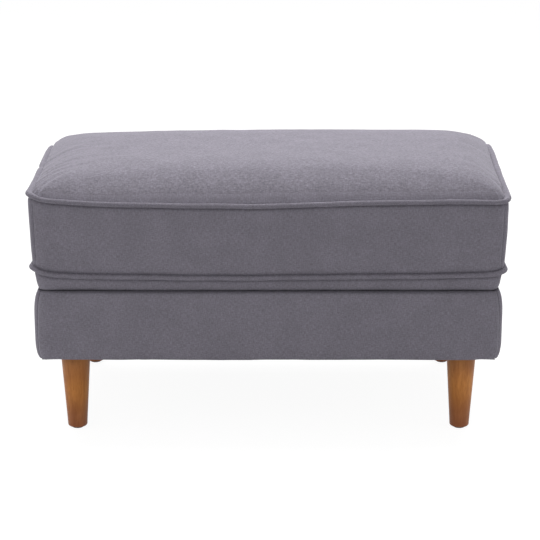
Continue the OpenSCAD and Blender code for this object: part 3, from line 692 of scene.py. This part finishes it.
# The rear boxing is two strips with their edges turned in along the zip
zipper = {
    "height": 0.376, "planeY": 0.2448, "halfSlot": 0.0055,
    # The turned edge's steps: towards the zip, and inward
    "hem": ((0.0004, 0.0012), (-0.0003, 0.0022), (-0.006, 0.0001)), "stripThickness": 0.0009,
    # Past the ends, and the pull's reach, the two strips are sewn together
    "closedFrom": 0.362, "closingLength": 0.008, "closingReach": 0.012,
    "halfChain": 0.340, "chainGap": 0.001, "pitch": 0.0018, "slit": 0.001,
    "tooth": (0.0014, 0.0021, 0.0026), "toothBevel": 0.0003, "toothLean": 0.25,
    # A bit of tape closes the gap past each end stop
    "endFrom": 0.3432, "endLength": 0.030, "endWidth": 0.0061, "endThickness": 0.0005,
    "endCuts": (24, 6), "endWaves": ((0.0003, 0.007, 50),),
}


def rearStrip(label, node, way):
    c = cushion
    strip = panelOf(pad, boxSides["rear"])
    low = zipper["height"] + way * zipper["halfSlot"]
    geometry = strip.verts[:] + strip.edges[:] + strip.faces[:]
    bmesh.ops.bisect_plane(
        strip, geom=geometry, plane_co=(0, 0, low), plane_no=(0, 0, way), clear_inner=True, dist=1e-6
    )
    edge = [e for e in strip.edges if all(abs(v.co.z - low) < 1e-5 for v in e.verts)]
    straightX, straightY = c["halfX"] - c["cornerRadius"], c["halfY"] - c["cornerRadius"]
    for drop, inward in zipper["hem"]:
        made = bmesh.ops.extrude_edge_only(strip, edges=edge)["geom"]
        points = [g for g in made if isinstance(g, bmesh.types.BMVert)]
        edge = [g for g in made if isinstance(g, bmesh.types.BMEdge)]
        for point in points:
            centreX = within(point.co.x, straightX)
            outward = Vector((point.co.x - centreX, point.co.y - straightY, 0)).normalized()
            point.co -= outward * inward
            point.co.z -= way * drop
    for vertex in strip.verts:
        past = clamp((abs(vertex.co.x) - zipper["closedFrom"]) / zipper["closingLength"])
        closing = past * past * (3 - 2 * past) * hump(vertex.co.z - low, zipper["closingReach"])
        vertex.co.z -= way * zipper["halfSlot"] * closing
    piece = newPiece(label, strip, greyCloth, "cushion", (node,))
    thicken(piece, zipper["stripThickness"])


rearStrip("boxingRearUpper", "boxing_rear_upper", 1)
rearStrip("boxingRearLower", "boxing_rear_lower", -1)
padTree = BVHTree.FromBMesh(pad)
pad.free()


# A closed section swept round a rounded plan, one corner and one straight side at a time
def sweepRound(bm, section, halfX, halfY, radius, cornerSteps, sideSteps):
    straight = (halfX - radius, halfY - radius)
    for cx, cy, wayX, wayY in ((1, 1, -1, 0), (-1, 1, 0, -1), (-1, -1, 1, 0), (1, -1, 0, 1)):
        centre = Vector((cx * straight[0], cy * straight[1], 0))
        turned = bmesh.ops.spin(
            bm, geom=section, cent=centre, axis=(0, 0, 1), angle=math.pi / 2, steps=cornerSteps
        )
        side = 0 if wayX else 1
        step = Vector((wayX, wayY, 0)) * (2 * straight[side] / sideSteps[side])
        moved = bmesh.ops.spin(
            bm, geom=turned["geom_last"], cent=centre, axis=(0, 0, 1), angle=0, dvec=step,
            steps=sideSteps[side]
        )
        section = moved["geom_last"]
    bmesh.ops.remove_doubles(bm, verts=bm.verts[:], dist=1e-5)
    bmesh.ops.recalc_face_normals(bm, faces=bm.faces[:])


welt = {
    "radius": 0.0045, "upperIn": 0.0046, "lowerIn": 0.00635,
    # Its inner half narrows to the flange that is caught in the seam
    "flangeReach": 1.15, "flangeNarrow": 0.75,
    "sides": 14, "cornerSteps": 14, "sideSteps": (150, 86),
    "heightWaves": ((0.0009, 0.06, 11), (0.0003, 0.014, 5)),
    "sideWaves": ((0.0006, 0.05, 2), (0.0002, 0.011, 9)),
    # The upper welt is bent at its left end
    "kinkPast": -0.38, "kink": -0.019, "kinkReach": 0.011, "kinkDrop": 0.0018, "kinkIn": 0.0017,
}


def weltPiece(label, node, upper):
    c, w = cushion, welt
    height, inset = (c["upperSeam"], w["upperIn"]) if upper else (c["lowerSeam"], w["lowerIn"])
    halfX, halfY, radius = c["halfX"] - inset, c["halfY"] - inset, c["cornerRadius"] - inset
    bm = bmesh.new()
    made = bmesh.ops.create_circle(bm, segments=w["sides"], radius=w["radius"])
    place = Matrix.Translation((halfX, halfY - radius, height)) @ Matrix.Rotation(math.pi / 2, 4, "X")
    bmesh.ops.transform(bm, matrix=place, verts=made["verts"])
    sweepRound(bm, bm.edges[:] + bm.verts[:], halfX, halfY, radius, w["cornerSteps"], w["sideSteps"])
    for vertex in bm.verts:
        co = vertex.co
        centreX, centreY = within(co.x, halfX - radius), within(co.y, halfY - radius)
        outward = Vector((co.x - centreX, co.y - centreY, 0)).normalized()
        # The same place on the welt's middle line for each point round it
        ring = Vector((centreX, centreY, 0)) + outward * radius
        centre = Vector((within(ring.x, halfX), within(ring.y, halfY), 0))
        inward = max(0, (ring - co).dot(outward))
        co.z = height + (co.z - height) * (1 - w["flangeNarrow"] * inward / w["radius"])
        co -= outward * inward * w["flangeReach"]
        co.z += uneven(centre, w["heightWaves"])
        co += outward * uneven(centre, w["sideWaves"])
        if upper and co.x < w["kinkPast"]:
            fold = hump(co.y - w["kink"], w["kinkReach"])
            co.z -= w["kinkDrop"] * fold
            co.x += w["kinkIn"] * fold
        co.z -= hang(centre.x, centre.y, 1 if upper else 0)
        widen(co)
    newPiece(label, bm, shadedBiasCloth, "cushion", (node,))


weltPiece("weltUpper", "welt_upper", True)
weltPiece("weltLower", "welt_lower", False)
print("welts made")


# Base cover: tight over the padded frame, rolled over the deck and turned under the rails
base = {
    "halfX": 0.4125, "halfY": 0.247, "cornerRadius": 0.026, "bottom": 0.148, "top": 0.274,
    "tuckWidth": 0.008, "tuckHeight": 0.034,
    # The roll at the front and back, and at the ends
    "rollWidth": (0.005, 0.011), "rollHeight": (0.0055, 0.045), "rollReach": 0.034,
    "borderIn": 0.040, "flangeIn": 0.033, "borderSpare": 0.004,
    "cuts": (140, 84, 30), "waves": ((0.0010, 0.13, 21), (0.0004, 0.04, 4)), "clothThickness": 0.0014,
}

# Its upright corner seams are drawn in, deeper towards the roll and the tuck, with a ridge beside them
baseSeam = {
    "patch": 0.06, "width": 0.0035, "depth": 0.0004,
    "rollDepth": 0.0016, "rollFrom": 0.205, "rollOver": 0.06,
    "tuckDepth": 0.0008, "tuckFrom": 0.168, "tuckOver": 0.02,
    "ridge": 0.0005, "ridgeAt": 0.008, "ridgeWidth": 0.004,
    # The lower corners hang a little and the edge beside them is drawn up
    "cornerBelow": 0.158, "cornerIn": 0.004, "cornerReach": 0.012, "cornerDrop": 0.0016,
    "besideRise": 0.0012, "besideAt": 0.030,
}


def baseInset(u, z):
    b = base
    low, high = z - b["bottom"], b["top"] - z
    near = hump((1 - abs(u)) * b["halfX"], b["rollReach"])
    rollWidth, rollHeight = mix(b["rollWidth"], near), mix(b["rollHeight"], near)
    inset = 0
    if low < b["tuckHeight"]:
        inset += b["tuckWidth"] * (1 - math.sqrt(max(0, 1 - (1 - low / b["tuckHeight"]) ** 2)))
    if high < rollHeight:
        inset += rollWidth * (1 - math.sqrt(max(0, 1 - (1 - high / rollHeight) ** 2)))
    return inset


# Closer rows where the cover rolls over and under
def evenHeight(s):
    return s - 0.14 * math.sin(2 * math.pi * s)


def placeBaseVertex(vertex):
    b = base
    u, v, w = vertex.co
    z = b["bottom"] + (b["top"] - b["bottom"]) * evenHeight((w + 1) / 2)
    inset = baseInset(u, z)
    halfX, halfY = b["halfX"] - inset, b["halfY"] - inset
    x, y = roundedPlan(u * halfX, v * halfY, halfX, halfY, max(0.003, b["cornerRadius"] - inset))
    vertex.co = (x, y, z)


# The middle of the top and of the bottom is left out, and each corner gets an edge for its seam
def cutSkin(bm):
    b = base
    keep = {boxSides["bottom"]: b["flangeIn"], boxSides["top"]: b["borderIn"]}
    doomed = []
    for face in bm.faces:
        if face.material_index in keep:
            at = face.calc_center_median()
            inset = min(b["halfX"] - abs(at.x), b["halfY"] - abs(at.y))
            if inset > keep[face.material_index] + b["borderSpare"]:
                doomed.append(face)
    bmesh.ops.delete(bm, geom=doomed, context="FACES")
    for cx, cy in ((1, 1), (-1, 1), (-1, -1), (1, -1)):
        near = [
            f for f in bm.faces
            if f.calc_center_median().x * cx > b["halfX"] - baseSeam["patch"]
            and f.calc_center_median().y * cy > b["halfY"] - baseSeam["patch"]
        ]
        geometry = near + list({part for f in near for part in (*f.edges, *f.verts)})
        bmesh.ops.bisect_plane(
            bm, geom=geometry, dist=1e-6,
            plane_co=(cx * b["halfX"], cy * b["halfY"], 0), plane_no=(cx, -cy, 0)
        )


def baseSkin():
    b, s = base, baseSeam
    bm = gridBox(b["cuts"])
    for vertex in bm.verts:
        placeBaseVertex(vertex)
    cutSkin(bm)
    bm.normal_update()
    for vertex in bm.verts:
        co = vertex.co
        alongX = b["halfX"] - abs(co.x)
        alongY = b["halfY"] - abs(co.y)
        apart = abs(alongX - alongY)
        high = clamp((co.z - s["rollFrom"]) / s["rollOver"])
        low = clamp((s["tuckFrom"] - co.z) / s["tuckOver"])
        depth = s["depth"] + s["rollDepth"] * high + s["tuckDepth"] * low
        co -= vertex.normal * hump(apart, s["width"]) * depth
        co += vertex.normal * hump(apart - s["ridgeAt"], s["ridgeWidth"]) * s["ridge"] * high
        co += vertex.normal * uneven(co, b["waves"])
        corner = math.hypot(max(0, alongX - s["cornerIn"]), max(0, alongY - s["cornerIn"]))
        if co.z < s["cornerBelow"]:
            co.z -= s["cornerDrop"] * hump(corner, s["cornerReach"])
            co.z += s["besideRise"] * hump(corner - s["besideAt"], s["cornerReach"])
        co.z = min(co.z, b["top"] - 0.0002)
    return bm


skin = baseSkin()
for side in ("front", "rear", "left", "right"):
    part = skin.copy()
    away = []
    for face in part.faces:
        at = face.calc_center_median()
        outX, outY = abs(at.x) - base["halfX"], abs(at.y) - base["halfY"]
        own = ("front" if at.y < 0 else "rear") if outY > outX else ("left" if at.x < 0 else "right")
        if own != side:
            away.append(face)
    bmesh.ops.delete(part, geom=away, context="FACES")
    label, node = "baseCover" + side.capitalize(), "base_cover_" + side
    piece = newPiece(label, part, greyCloth, "root", (node,))
    thicken(piece, base["clothThickness"])
skinTree = BVHTree.FromBMesh(skin)
skin.free()
print("base cover made")


# Deck and dust cover

def flatCloth(halfX, halfY, height, cuts, holes=(), holeRadius=0.0275):
    bm = bmesh.new()
    bmesh.ops.create_grid(bm, x_segments=cuts[0], y_segments=cuts[1], size=1)
    bmesh.ops.scale(bm, vec=(halfX, halfY, 1), verts=bm.verts[:])
    bmesh.ops.translate(bm, vec=(0, 0, height), verts=bm.verts[:])
    for hole in holes:
        centre = Vector((*hole, height))
        inside = [f for f in bm.faces if (f.calc_center_median() - centre).length < holeRadius]
        bmesh.ops.delete(bm, geom=inside, context="FACES")
        for vertex in bm.verts:
            away = vertex.co - centre
            if away.length < holeRadius * 1.3 and vertex.is_boundary:
                vertex.co = centre + away.normalized() * holeRadius
    return bm


legPlaces = [(x, y) for x in (-0.3465, 0.3465) for y in (-0.180, 0.180)]
dust = {
    "halfX": 0.4005, "halfY": 0.234, "height": 0.1479, "cuts": (110, 66), "thickness": 0.0006,
    # It sags, and the edge is scalloped between the staples
    "dip": 0.0016, "dipReach": 0.05, "scallop": 0.0004, "scallopReach": 0.02,
    "stapleSize": (0.010, 0.0011, 0.0006), "stapleBevel": 0.00018, "stapleStep": 0.062,
    "stapleIn": 0.008, "stapleBelow": 0.0011, "stapleSlant": 0.12,
}
deck = {
    "halfX": 0.3732, "halfY": 0.2067, "height": 0.27385, "cuts": (90, 50), "thickness": 0.001,
    "dip": 0.0007, "dipReach": 0.03,
}


def dustCover():
    d = dust
    bm = flatCloth(d["halfX"], d["halfY"], d["height"], d["cuts"], legPlaces)
    for vertex in bm.verts:
        co = vertex.co
        insetX, insetY = d["halfX"] - abs(co.x), d["halfY"] - abs(co.y)
        edge = min(insetX, insetY)
        co.z -= d["dip"] * min(1, edge / d["dipReach"]) * (0.6 + 0.6 * softNoise(co, 0.12, 30))
        if edge < d["scallopReach"]:
            turns = (co.x if insetY < insetX else co.y) / d["stapleStep"]
            scallop = d["scallop"] * (1 - math.cos(2 * math.pi * turns))
            co.z -= scallop * (1 - edge / d["scallopReach"])
    piece = newPiece("dustCoverCloth", bm, blackLining, "root", ("dust_cover",))
    thicken(piece, d["thickness"])


def deckCloth():
    bm = flatCloth(deck["halfX"], deck["halfY"], deck["height"], deck["cuts"])
    for vertex in bm.verts:
        edge = min(deck["halfX"] - abs(vertex.co.x), deck["halfY"] - abs(vertex.co.y))
        sink = deck["dip"] * min(1, edge / deck["dipReach"])
        vertex.co.z -= sink * (0.5 + 0.5 * softNoise(vertex.co, 0.09, 40))
    piece = newPiece("deckLining", bm, blackLining, "root", ("deck_cloth",))
    thicken(piece, deck["thickness"])


# Each staple is turned a little off the edge's line
def staples():
    d = dust
    step, farX, farY = d["stapleStep"], d["halfX"] - d["stapleIn"], d["halfY"] - d["stapleIn"]
    places = []
    for side in (-1, 1):
        places += [(i * step, side * farY, 0) for i in range(-5, 6)]
        places += [(side * farX, i * step, math.pi / 2) for i in range(-3, 4)]
    bm = bmesh.new()
    for x, y, turn in places:
        slant = d["stapleSlant"] * math.sin(x * 90 + y * 50)
        place = Matrix.Translation((x, y, d["height"] - d["stapleBelow"]))
        place @= Matrix.Rotation(turn + slant, 4, "Z") @ Matrix.Diagonal((*d["stapleSize"], 1))
        made = bmesh.ops.create_cube(bm, size=1)
        bmesh.ops.transform(bm, matrix=place, verts=made["verts"])
    bevel(bm, bm.edges[:], d["stapleBevel"])
    newPiece("dustCoverStaples", bm, galvanised, "root")


dustCover()
deckCloth()
staples()


# Inner soft pieces: the node's own form with its edges eased

def fitInside(bm, cover, gap):
    for vertex in bm.verts:
        place, normal = cover.find_nearest(vertex.co)[:2]
        if (vertex.co - place).dot(normal) > -gap:
            vertex.co = place - normal * gap


easing = {"flat": math.radians(2), "sharp": math.radians(50), "longestEdge": 0.016, "rounds": 6}


def easedCopy(label, node, material, body, ease, cover=None, gap=0):
    bm = bmesh.new()
    bm.from_mesh(nodes[node].data)
    bmesh.ops.remove_doubles(bm, verts=bm.verts[:], dist=1e-5)
    bmesh.ops.dissolve_limit(bm, angle_limit=easing["flat"], verts=bm.verts[:], edges=bm.edges[:])
    sharp = [e for e in bm.edges if e.calc_face_angle(0) > easing["sharp"]]
    bevel(bm, sharp, ease, segments=2, clamped=True)
    bmesh.ops.triangulate(bm, faces=bm.faces[:])
    if cover:
        for attempt in range(easing["rounds"]):
            longEdges = [e for e in bm.edges if e.calc_length() > easing["longestEdge"]]
            if not longEdges:
                break
            bmesh.ops.subdivide_edges(bm, edges=longEdges, cuts=1)
            bmesh.ops.triangulate(bm, faces=bm.faces[:])
        fitInside(bm, cover, gap)
    piece = newPiece(label, bm, material, body, (node,))


easedCopy("cushionFoamCore", "cushion_foam", foamCore, "cushion", 0.002, padTree, 0.0045)
for label, node, gap in (
    ("cushionFibreUpper", "cushion_fibre_top", 0.0045),
    ("cushionFibreLower", "cushion_fibre_bottom", 0.0025),
):
    easedCopy(label, node, fibreWadding, "cushion", 0.001, padTree, gap)
easedCopy("deckFoamSlab", "deck_foam", foamCore, "root", 0.002)
easedCopy("springFeltPad", "spring_felt", pressedFelt, "root", 0.0006)
for side in ("front", "rear", "left", "right"):
    label, node = "edgePadding" + side.capitalize(), "padding_" + side
    easedCopy(label, node, fibreWadding, "root", 0.001, skinTree, 0.0018)
print("inner soft pieces made")

# The turned legs: the wall flares a little more towards the rail than in the CAD, and the bores stay
legTurning = {
    "flareFrom": 0.018, "flareTo": 0.148, "flare": 0.00135, "wallBeyond": 0.0145, "sharpAngle": 40,
}


def turnedLeg(node, label, place):
    t = legTurning
    bm = bmesh.new()
    bm.from_mesh(nodes[node].data)
    bmesh.ops.remove_doubles(bm, verts=bm.verts[:], dist=1e-6)
    for vertex in bm.verts:
        away = Vector((vertex.co.x - place[0], vertex.co.y - place[1], 0))
        rise = max(0, (vertex.co.z - t["flareFrom"]) / (t["flareTo"] - t["flareFrom"]))
        if away.length > t["wallBeyond"]:
            vertex.co += away.normalized() * t["flare"] * rise
    piece = newPiece(label, bm, legWood, "root", (node,))
    piece.data.set_sharp_from_angle(angle=math.radians(t["sharpAngle"]))


for place in legPlaces:
    end, face = "left" if place[0] < 0 else "right", "front" if place[1] < 0 else "rear"
    turnedLeg("leg_" + face + "_" + end, "leg" + face.capitalize() + end.capitalize(), place)
print("legs made")


# Zip

def zipCoil():
    z = zipper
    bm = bmesh.new()
    made = bmesh.ops.create_cube(bm, size=1)
    bmesh.ops.scale(bm, vec=z["tooth"], verts=made["verts"])
    bevel(bm, bm.edges[:], z["toothBevel"])
    for vertex in bm.verts:
        vertex.co.x += z["toothLean"] * vertex.co.z
        vertex.co.z += z["slit"] / 2 + z["tooth"][2] / 2
    bmesh.ops.mirror(bm, geom=bm.verts[:] + bm.edges[:] + bm.faces[:], axis="Z", merge_dist=-1)
    bmesh.ops.recalc_face_normals(bm, faces=bm.faces[:])
    halfRow = z["halfChain"] - z["chainGap"]
    bmesh.ops.translate(bm, vec=(-halfRow, z["planeY"], z["height"]), verts=bm.verts[:])
    piece = newPiece("zipCoilRows", bm, blackPlastic, "cushion", ("zip_coil",))
    rows = piece.modifiers.new("rows", "ARRAY")
    rows.use_relative_offset = False
    rows.use_constant_offset = True
    rows.constant_offset_displace = (z["pitch"], 0, 0)
    rows.count = int(2 * halfRow / z["pitch"])


# The tapes are joined by a bit of the same cloth past each end stop
def zipEnds():
    z = zipper
    bm = bmesh.new()
    for way in (-1, 1):
        made = bmesh.ops.create_grid(bm, x_segments=z["endCuts"][0], y_segments=z["endCuts"][1], size=0.5)
        bmesh.ops.scale(bm, vec=(z["endLength"], z["endWidth"], 1), verts=made["verts"])
        middle = way * (z["endFrom"] + z["endLength"] / 2)
        place = Matrix.Translation((middle, z["planeY"], z["height"]))
        place @= Matrix.Rotation(-math.pi / 2, 4, "X")
        bmesh.ops.transform(bm, matrix=place, verts=made["verts"])
    for vertex in bm.verts:
        vertex.co.y += uneven(vertex.co, z["endWaves"])
    piece = newPiece("zipEndTapes", bm, zipCloth, "cushion")
    thicken(piece, z["endThickness"])


zipCoil()
zipEnds()
for label in ("upper", "lower"):
    easedCopy("zipTape" + label.capitalize(), "zip_tape_" + label, zipCloth, "cushion", 0.0001)
print("zip made")

# Finishes of the nodes whose CAD shape is shown
shownNodes = {
    "pine": pineWood,
    "black_plastic": blackPlastic,
    "steel": galvanised,
    "zip_metal": zipMetal,
}
for part in frame["record"]["subparts"]:
    node = nodes[part["node"]]
    finish = shownNodes.get(part["material_slot"])
    if node.name.startswith("spring_") and part["material_slot"] == "steel":
        finish = springSteel
    if finish:
        node.data.materials.clear()
        node.data.materials.append(finish)
print("finishes given")


# Stage, light and camera

# The ground glows only where it is looked at, so that it lights the cloth less than it shows
studio = {"floorSize": 30, "floorGlow": 1.17, "glowShare": 0.8, "fillLevel": 0.34}


def stagePiece(name, size, height):
    bm = bmesh.new()
    bmesh.ops.create_grid(bm, x_segments=1, y_segments=1, size=size)
    bmesh.ops.translate(bm, vec=(0, 0, height), verts=bm.verts[:])
    piece = objectOf(name, bm)
    bm.free()
    return piece


# 1 for a ray from the camera, straight or by way of a shiny or a clear surface
def seenRays(tree):
    rays = addNode(tree, "LightPath")
    bent = maths(tree, "MAXIMUM", rays.outputs["Is Glossy Ray"], rays.outputs["Is Transmission Ray"])
    return maths(tree, "MAXIMUM", rays.outputs["Is Camera Ray"], bent)


floor = stagePiece("floor", studio["floorSize"], 0)
paper, paperTree, paperShader = newMaterial("seamlessPaper", Roughness=0.95)
paperShader.inputs["Base Color"].default_value = colour("#DCDCDC")
share = maths(paperTree, "MULTIPLY", seenRays(paperTree), studio["glowShare"])
glow = addNode(paperTree, "Emission", {"Color": (1, 1, 1, 1), "Strength": studio["floorGlow"]})
mixed = addNode(paperTree, "MixShader", in0=share, in1=paperShader.outputs[0], in2=glow.outputs[0])
paperTree.links.new(mixed.outputs[0], paperTree.nodes["Material Output"].inputs[0])
floor.data.materials.append(paper)

world = bpy.data.worlds.new("studio")
world.use_nodes = True
worldTree = world.node_tree
sky = worldTree.nodes["Background"]
extra = maths(worldTree, "MULTIPLY", seenRays(worldTree), 1 - studio["fillLevel"])
level = maths(worldTree, "ADD", extra, studio["fillLevel"])
sky.inputs[0].default_value = (1, 1, 1, 1)
worldTree.links.new(level, sky.inputs[1])
scene.world = world

# Name, place, height that it aims at over the middle of the floor, size and power
lamps = (
    ("overheadSoftbox", (0.0, 0.95, 2.6), 0.3, (3.2, 2.4), 119),
    ("frontSoftbox", (-1.0, -2.6, 2.2), 0.25, (2.0, 1.6), 15.5),
    ("leftSoftbox", (-3.0, -0.8, 2.0), 0.3, (1.2, 1.2), 6.5),
    ("rightSoftbox", (3.0, -0.8, 2.0), 0.3, (1.2, 1.2), 6),
)
for name, place, aim, size, power in lamps:
    light = bpy.data.lights.new(name, "AREA")
    light.shape = "RECTANGLE"
    light.size, light.size_y = size
    light.energy = power
    lamp = linked(name, light)
    lamp.location = place
    beam = Vector((0, 0, aim)) - Vector(place)
    lamp.rotation_euler = beam.to_track_quat("-Z", "Y").to_euler()

view = {
    "place": (0.0028, -3.327, 1.227), "down": 16.48,
    "focalPixels": 1850, "picturePixels": 540, "sensorWidth": 36,
}
eye = bpy.data.cameras.new("photoView")
eye.sensor_width = view["sensorWidth"]
eye.lens = view["focalPixels"] / view["picturePixels"] * view["sensorWidth"]
camera = linked("photoView", eye)
camera.location = view["place"]
camera.rotation_euler = (math.radians(90 - view["down"]), 0, 0)
scene.camera = camera
scene.view_settings.view_transform = "Standard"
print("stage, light and camera set")
